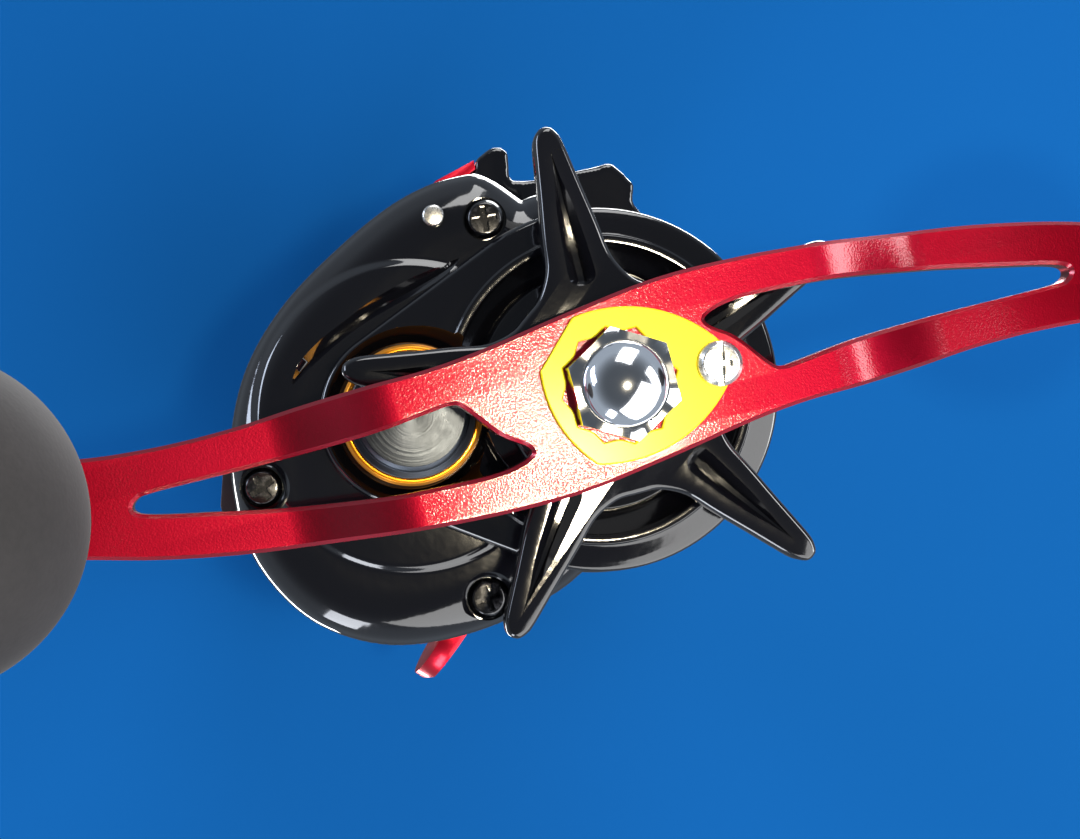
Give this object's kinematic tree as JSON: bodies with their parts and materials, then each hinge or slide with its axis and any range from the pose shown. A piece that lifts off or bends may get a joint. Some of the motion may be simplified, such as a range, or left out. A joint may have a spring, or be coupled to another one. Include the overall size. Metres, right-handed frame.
{
  "type": "baitcasting reel",
  "caption": "Low-profile baitcasting reel with star drag, level wind and a long double power handle with ball knobs.",
  "frame": {"origin": "centre of the flat pad under the reel foot, where it sits on the rod", "axes": "+X along the rod towards its tip, +Y towards the palm side, +Z away from the rod"},
  "size_m": [0.1256, 0.1031, 0.1226],
  "materials": {
    "red_frame": "gloss metallic red coat on cast aluminium",
    "gloss_black": "polished black",
    "black_screw": "black oxide, satin",
    "bright_steel": "bright",
    "brass_gear": "machined",
    "acetal": "moulded",
    "carbon": "woven carbon, matt",
    "red_anodised": "bead-blasted and anodised red",
    "yellow_anodised": "anodised bright yellow gold",
    "polished_chrome": "polished",
    "eva_foam": "matt foam",
    "dark_plastic": "moulded, satin",
    "spool_alloy": "anodised gunmetal",
    "orange_anodised": "anodised orange gold",
    "turned_silver": "face turned",
    "ceramic": "polished ceramic",
    "bronze": "machined bronze"
  },
  "bodies": {
    "reel_body": {"frame": "red_frame", "front_hood": "gloss_black", "hood_screws": "black_screw", "handle_side_cover": "gloss_black", "palm_side_cover": "gloss_black", "handle_cover_screws": "black_screw", "palm_cover_screws": "black_screw", "cover_pin": "bright_steel", "guide_bar": "bright_steel", "worm_bushings": "acetal", "drive_shaft_bearing": "bright_steel", "pinion_bearings": "bright_steel", "roller_clutch": "bright_steel", "spool_end_bearings": "bright_steel", "idler_axle": "bright_steel", "yoke_posts": "bright_steel", "yoke_springs": "bright_steel", "thumb_bar_spring": "bright_steel"},
    "handle": {"drive_shaft": "bright_steel", "guide_drive_gear": "brass_gear", "ratchet": "bright_steel", "main_gear": "brass_gear", "drag_washer": "carbon", "pressure_plate": "bright_steel", "clutch_sleeve": "bright_steel", "spring_washers": "bright_steel", "handle_spacer": "bright_steel", "handle_blade": "red_anodised", "handle_nut": "polished_chrome", "nut_keeper": "yellow_anodised", "keeper_screw": "bright_steel", "knob_shafts": "bright_steel"},
    "star": {"star_drag": "gloss_black"},
    "rear_knob": {"knob_rear": "eva_foam", "knob_core_rear": "dark_plastic", "knob_cap_rear": "dark_plastic"},
    "front_knob": {"knob_front": "eva_foam", "knob_core_front": "dark_plastic", "knob_cap_front": "dark_plastic"},
    "spool_group": {"spool": "spool_alloy", "spool_flanges": "spool_alloy", "spool_shaft": "bright_steel", "clutch_pin": "bright_steel"},
    "yoke": {"clutch_yoke": "acetal"},
    "pinion_group": {"pinion": "brass_gear"},
    "cam": {"clutch_cam": "acetal"},
    "thumb": {"thumb_bar": "dark_plastic"},
    "idler": {"idler_gear": "acetal"},
    "worm": {"worm_shaft": "bright_steel", "worm_gear": "acetal"},
    "guide": {"line_guide": "dark_plastic", "guide_ring": "ceramic", "pawl": "bronze", "pawl_cap": "bright_steel"},
    "cast_control": {"cast_cap": "turned_silver", "cast_cap_ring": "orange_anodised", "cast_cap_shim": "bronze"},
    "magnets": {"magnet_carrier": "dark_plastic", "brake_magnets": "polished_chrome"},
    "dial": {"brake_dial": "dark_plastic"}
  },
  "joints": [
    {"name": "handle_turn", "type": "hinge", "parent": "reel_body", "child": "handle", "pos_m": [0.008, 0, 0.0058], "axis": [0, 1, 0], "continuous": true},
    {"name": "star_turn", "type": "hinge", "parent": "handle", "child": "star", "pos_m": [0.008, 0, 0.0058], "axis": [0, 1, 0], "range_deg": [-270, 90]},
    {"name": "rear_knob_spin", "type": "hinge", "parent": "handle", "child": "rear_knob", "pos_m": [-0.03941, 0, 0.05172], "axis": [0, 1, 0], "continuous": true},
    {"name": "front_knob_spin", "type": "hinge", "parent": "handle", "child": "front_knob", "pos_m": [0.05541, 0, -0.04012], "axis": [0, 1, 0], "continuous": true},
    {"name": "spool_spin", "type": "hinge", "parent": "reel_body", "child": "spool_group", "pos_m": [-0.00556, 0, 0.0205], "axis": [0, 1, 0], "continuous": true},
    {"name": "thumb_press", "type": "slide", "parent": "reel_body", "child": "thumb", "axis": [-0.4695, 0, -0.8829], "range_m": [0, 0.0042], "stiffness_N_per_m": 300, "springref_m": -0.001, "deforming": ["thumb_bar_spring"]},
    {"name": "yoke_lift", "type": "slide", "parent": "reel_body", "child": "yoke", "axis": [0, -1, 0], "range_m": [0, 0.0014], "deforming": ["yoke_springs"]},
    {"name": "pinion_spin", "type": "hinge", "parent": "yoke", "child": "pinion_group", "pos_m": [-0.00556, 0, 0.0205], "axis": [0, 1, 0], "continuous": true},
    {"name": "cam_turn", "type": "hinge", "parent": "reel_body", "child": "cam", "pos_m": [-0.00556, 0, 0.0205], "axis": [0, -1, 0], "range_deg": [0, 14]},
    {"name": "idler_spin", "type": "hinge", "parent": "reel_body", "child": "idler", "pos_m": [0.01443, 0, 0.01346], "axis": [0, 1, 0], "continuous": true},
    {"name": "worm_spin", "type": "hinge", "parent": "reel_body", "child": "worm", "pos_m": [0.01893, 0, 0.01882], "axis": [0, 1, 0], "continuous": true},
    {"name": "guide_traverse", "type": "slide", "parent": "reel_body", "child": "guide", "axis": [0, 1, 0], "range_m": [-0.0102, 0.0102]},
    {"name": "cast_control_turn", "type": "hinge", "parent": "reel_body", "child": "cast_control", "pos_m": [-0.00556, 0, 0.0205], "axis": [0, 1, 0], "range_deg": [-360, 90]},
    {"name": "brake_dial_turn", "type": "hinge", "parent": "reel_body", "child": "dial", "pos_m": [-0.00556, 0, 0.0205], "axis": [0, 1, 0], "range_deg": [0, 300]},
    {"name": "magnet_shift", "type": "slide", "parent": "reel_body", "child": "magnets", "axis": [0, 1, 0], "range_m": [0, 0.0013]}
  ],
  "couplings": [
    {"joint": "spool_spin", "follows": "handle_turn", "ratio": -5.6667},
    {"joint": "pinion_spin", "follows": "handle_turn", "ratio": -5.6667},
    {"joint": "idler_spin", "follows": "handle_turn", "ratio": -1.5},
    {"joint": "worm_spin", "follows": "handle_turn", "ratio": 2},
    {"joint": "yoke_lift", "follows": "thumb_press", "ratio": 0.33333},
    {"joint": "cam_turn", "follows": "thumb_press", "rad_per_m": 55.5},
    {"joint": "magnet_shift", "follows": "brake_dial_turn", "m_per_rad": 0.00022918}
  ]
}
